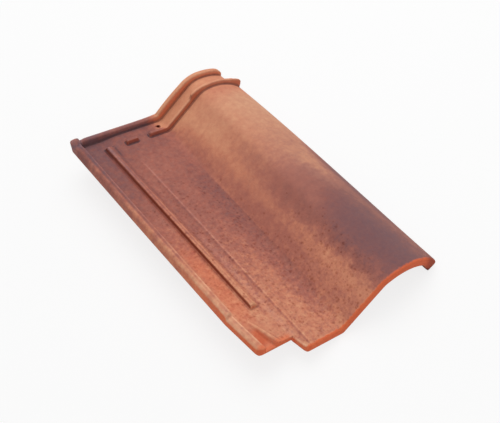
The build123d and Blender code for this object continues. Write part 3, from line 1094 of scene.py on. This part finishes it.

# %% [markdown]
# ## Raw clay, painted shade and dark places
# Steep sides, the tail's end face and the drain corner were hardly touched by the smoke, so they keep
# the raw orange red. The underside is a plain paler clay. Sides facing the lock edge, the foot of the
# water rib, the pocket and the lap rib's face get painted shade in deep red, and the lip's end and the
# rim of the nail hole are made dark brown.

# %% Raw clay
RAW_COLOUR = (0.740, 0.140, 0.050, 1)
RAW_SHARE = 0.92
# Painted shade: steep sides that face the lock edge, away from the key lamp, are darkened and turned deep
# red.
lock_side_shade = lee.ramp(0.40, 0.90) * facing.ramp(0.55, 0.25) * tile_x.ramp(12.0, 16.0) * tile_y.ramp(66.0, 76.0)
beside_bar = (bar_side(tile_y) - tile_x).ramp(-1.5, 1.5)
hollow = tile_x.ramp(13.0, 19.0) * beside_bar * band(tile_y, 32.0, 54.0, 5.0, 4.0)
steep = facing.ramp(0.50, 0.10) * smoke_and_shade.ramp(0.8, 0.0)
outer_side = tile_x.ramp(6.0, 2.0) * along.ramp(80.0, 200.0) * 0.8
lip_side = tile_x.ramp(230.0, 244.0) * tile_y.ramp(398.0, 392.0)
raw_places = {
    "pocket": hollow * 0.75,
    "tail": (tile_y + blotch * 4.0).ramp(4.4, 1.8),
    "strip's tail": band(tile_x, -60.0, 52.0, 1.0, 6.0) * (tile_y + ragged * 0.3).ramp(34.0, 25.0) * 0.7,
    "channel": band(across, 14.0, 33.0, 5.0, 4.0) * band(along, 70.0, 200.0, 30.0, 40.0) * 0.30,
    "steep sides": steep * let_through([outer_side, lock_side_shade, lip_side, lap_side * 0.45]),
}
raw = (1 - let_through(raw_places.values())) * RAW_SHARE
with_raw = raw.mixed(rubbed_and_highlit, RAW_COLOUR)
print("raw clay at", list(raw_places))

# %% Underside and painted shade
UNDER_COLOUR = (0.600, 0.195, 0.105, 1)
SHADE_RED = (0.330, 0.070, 0.036, 1)
with_under = (facing.ramp(-0.20, -0.50) * 0.85).mixed(with_raw, UNDER_COLOUR)
lap_face = band(tile_y, LAP_RIB[0], LAP_RIB[0] + 2.2, 1.0, 1.0) * facing.ramp(0.92, 0.70)
# Painted shade in deep red: on sides facing the lock edge, at the water rib's foot, in the pocket and on the
# lap rib's face.
shade_places = {
    "lock-facing sides": lock_side_shade * tile_y.ramp(280.0, 400.0).between(0.75, 0.40),
    "water rib's foot": band(tile_x, 32.5, 36.2, 2.0, 0.5) * band(tile_y, 130.0, 400.0, 50.0, 4.0) * 0.40,
    "pocket": hollow * 0.30,
    "lap rib's face": lap_face * tile_x.ramp(62.0, 66.0) * tile_x.ramp(118.0, 190.0).between(0.70, 0.35),
}
with_shade = sum(shade_places.values()).clamped().mixed(with_under, SHADE_RED)
print("deep red at", list(shade_places))

# %% Darker places
DARK_BROWN = (0.170, 0.026, 0.018, 1)


def distance(off_a, off_b):
    """Root of the sum of two squares."""
    return net.maths("SQRT", off_a * off_a + off_b * off_b)


nail_off = distance(tile_x - NAIL[0], tile_y - NAIL[1])
roll_off = distance(tile_x - CROWN_X[0], tile_z - (CROWN_Z[0] - CROWN_R[0]))
lip_inside = roll_off.ramp(69.5, 66.0) * tile_x.ramp(243.0, 247.0)
# The lip's end and the rim of the nail hole are made dark brown.
lip_end = (tile_x.ramp(232.0, 250.0) * 0.66 + lip_inside * 0.8) * tile_y.ramp(8.0, 3.0)
nail_rim = nail_off.ramp(NAIL[2] + 1.6, NAIL[2]) * 0.8
darkened = (lip_end + nail_rim).clamped().mixed(with_shade, DARK_BROWN)
print("burnt at the lip's end and round the nail hole")

# %% [markdown]
# ## Grain, painted shade and surface
# At arm's length fired clay is never even: its grain makes it lighter and darker, and small flecks are
# more yellow or more red. The shade factor also holds painted shade in grooves and on sides facing the
# lock edge. The same grain gives the bump and the roughness, and the surface is matte.

# %% Finish of the clay
# shade is the grain times painted shade in grooves and on sides facing the lock edge
shade = grain.between(0.90, 1.10) * groove_shade.between(1.0, 0.65) * lock_side_shade.between(1.0, 0.70)
fleck = sway(5.2, 13.7, 1.0, roughness=0.65) * (0.30 + clean * 0.25 + on_pan * 0.60)
red = shade * (1 + fleck * 0.18)
green_blue = shade * (1 + fleck * 0.66)
grained = tinted(1.0, darkened, net.node("CombineColor", i0=red, i1=green_blue, i2=green_blue))
grained.into(clay_shader, "Base Color")
height = grain + cloud(3.0, 15.0, detail=2.0) * 1.2 - speck * 0.4
net.node("Bump", Strength=0.35, Distance=0.0004, Height=height).into(clay_shader, "Normal")
grain.between(0.80, 0.92).into(clay_shader, "Roughness")
clay_shader.inputs["Specular IOR Level"].default_value = 0.25
tile.data.materials.append(clay)
print("clay material has", len(net.tree.nodes), "nodes")

# %% [markdown]
# ## Camera
# The camera stands where the photograph was taken from. Its place and its directions were found in the
# level tile's directions, so they are laid down with the tile. A Blender camera looks along its own
# minus z, with y up, and the matrix's columns are those directions.

# %% Camera
CAMERA_PLACE = np.array((-560.762, -432.686, 882.368))
CAMERA_RIGHT = np.array((0.775, -0.607, 0.172))
CAMERA_FORWARD = np.array((0.5421, 0.5005, -0.675))
FOCAL_PIXELS = 985.54
IMAGE_WIDTH = 500
SENSOR_WIDTH = 36.0
forward = rest_turn @ (CAMERA_FORWARD / np.linalg.norm(CAMERA_FORWARD))
right = rest_turn @ CAMERA_RIGHT
right = right - forward * right.dot(forward)
right /= np.linalg.norm(right)
camera_data = bpy.data.cameras.new("camera")
camera_data.sensor_width = SENSOR_WIDTH
camera_data.lens = FOCAL_PIXELS / IMAGE_WIDTH * SENSOR_WIDTH
camera = add_object("camera", camera_data)
stand = np.eye(4)
stand[:3] = np.stack([right, np.cross(right, forward), -forward, lay_down(CAMERA_PLACE)], axis=1)
camera.matrix_world = Matrix(stand.tolist())
bpy.context.scene.camera = camera
print("camera at", stand[:3, 3].round(3), "with a lens of", round(camera_data.lens, 1), "mm")

# %% [markdown]
# ## Light and floor
# A large soft lamp stands behind the tile on the roll's side and a weaker one in front, over an even
# pale world. The world looks white to the camera, but lights the tile with less than half of that. The
# floor is pale, and it shows almost white to the camera but still takes the tile's shadow.

# %% Lamps
# Name, place, size and power
LAMPS = (
    ("key", (0.60, 0.65, 1.8), 1.9, 28.0),
    ("fill", (-0.5, -1.3, 1.3), 1.6, 3.5),
)
for name, place, size, power in LAMPS:
    lamp = bpy.data.lights.new(name, "AREA")
    lamp.size, lamp.energy = size, power
    lamp_turn = (-Vector(place)).to_track_quat("-Z", "Y")
    add_object(name, lamp).matrix_world = Matrix.Translation(place) @ lamp_turn.to_matrix().to_4x4()
    print("lamp", name, "of", power, "W at", place)

# %% World
WORLD_LEVEL = 0.45
world = bpy.data.worlds.new("studio")
bpy.context.scene.world = world
world.use_nodes = True
sky = first_node(world.node_tree, "BACKGROUND")
sky.inputs["Color"].default_value = (1, 1, 1, 1)
path = Net(world.node_tree, None).node("LightPath")
seen = (path + path.beside("Is Glossy Ray") + path.beside("Is Transmission Ray")).clamped()
seen.between(WORLD_LEVEL, 1.0).into(sky, "Strength")
print("world lights the tile at", WORLD_LEVEL)

# %% Floor
FLOOR_SIZE = 4.0
FLOOR_GREY = 0.85
FLOOR_ROUGHNESS = 0.9
FLOOR_GLOW = 0.8
corners = np.array([(-1, -1, 0), (1, -1, 0), (1, 1, 0), (-1, 1, 0)]) * FLOOR_SIZE
floor = mesh_from("floor", corners, np.arange(4)[None])
paper, paper_shader, paper_net = new_material("pale_paper")
paper_shader.inputs["Base Color"].default_value = (FLOOR_GREY, FLOOR_GREY, FLOOR_GREY, 1)
paper_shader.inputs["Roughness"].default_value = FLOOR_ROUGHNESS
paper_glow = paper_net.node("Emission", Color=(1, 1, 1, 1), Strength=1.0)
paper_seen = paper_net.node("LightPath") * FLOOR_GLOW
paper_plain = Net(paper.node_tree, paper_shader.outputs[0])
paper_mix = paper_net.node("MixShader", i0=paper_seen, i1=paper_plain, i2=paper_glow)
paper_mix.into(first_node(paper.node_tree, "OUTPUT_MATERIAL"), "Surface")
floor.data.materials.append(paper)
bpy.context.scene.view_settings.view_transform = "Standard"
print("floor", 2 * FLOOR_SIZE, "m wide")
